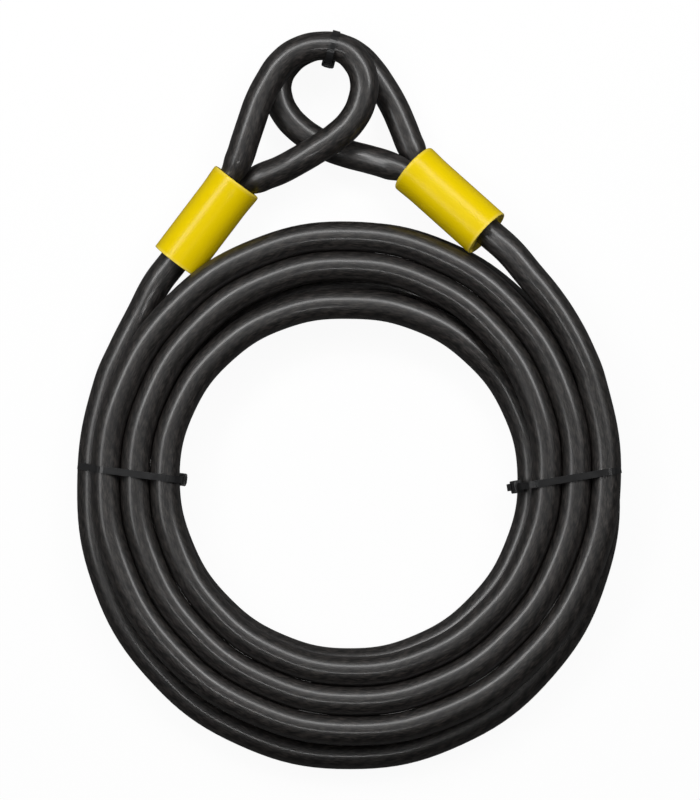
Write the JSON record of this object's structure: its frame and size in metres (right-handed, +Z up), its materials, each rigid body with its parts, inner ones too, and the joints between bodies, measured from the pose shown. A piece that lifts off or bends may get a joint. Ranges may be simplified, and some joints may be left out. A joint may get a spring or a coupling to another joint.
{
  "type": "looped security cable",
  "caption": "Coiled vinyl-covered steel security cable with an eye at each end, closed under yellow sleeves, held in two layers by nylon cable ties.",
  "frame": {"origin": "on the surface the cable lies on, under the middle of its outline", "axes": "+Z up, +Y from the coil towards the two eyes, +X to the right seen from above with the eyes away from the viewer"},
  "size_m": [0.2853, 0.3857, 0.0379],
  "materials": {
    "cover": "gloss",
    "rope": "stranded",
    "ferrule": "pressed",
    "sleeve": "gloss",
    "tie": "satin"
  },
  "bodies": {
    "cable": {"coil_cover": "cover", "coil_rope": "rope", "right_lead_cover": "cover", "right_lead_rope": "rope", "left_lead_cover": "cover", "left_lead_rope": "rope", "right_eye_cover": "cover", "right_eye_rope": "rope", "left_eye_cover": "cover", "left_eye_rope": "rope", "right_ferrule": "ferrule", "left_ferrule": "ferrule", "right_sleeve": "sleeve", "left_sleeve": "sleeve", "left_tie": "tie", "right_tie": "tie", "top_tie": "tie"},
    "left_pawl": {"left_tie_pawl": "tie"},
    "right_pawl": {"right_tie_pawl": "tie"},
    "top_pawl": {"top_tie_pawl": "tie"}
  },
  "joints": [
    {"name": "left_pawl_hinge", "type": "hinge", "parent": "cable", "child": "left_pawl", "pos_m": [-0.08797, -0.04288, 0.01544], "axis": [0.1305, 0.9914, 0], "range_deg": [0, 12], "stiffness_Nm_per_rad": 0.02},
    {"name": "right_pawl_hinge", "type": "hinge", "parent": "cable", "child": "right_pawl", "pos_m": [0.08761, -0.04667, 0.01903], "axis": [0.165, -0.9863, 0], "range_deg": [0, 12], "stiffness_Nm_per_rad": 0.02},
    {"name": "top_pawl_hinge", "type": "hinge", "parent": "cable", "child": "top_pawl", "pos_m": [-0.01068, 0.17585, 0.01503], "axis": [0.9659, -0.2588, 0], "range_deg": [0, 12], "stiffness_Nm_per_rad": 0.02}
  ]
}
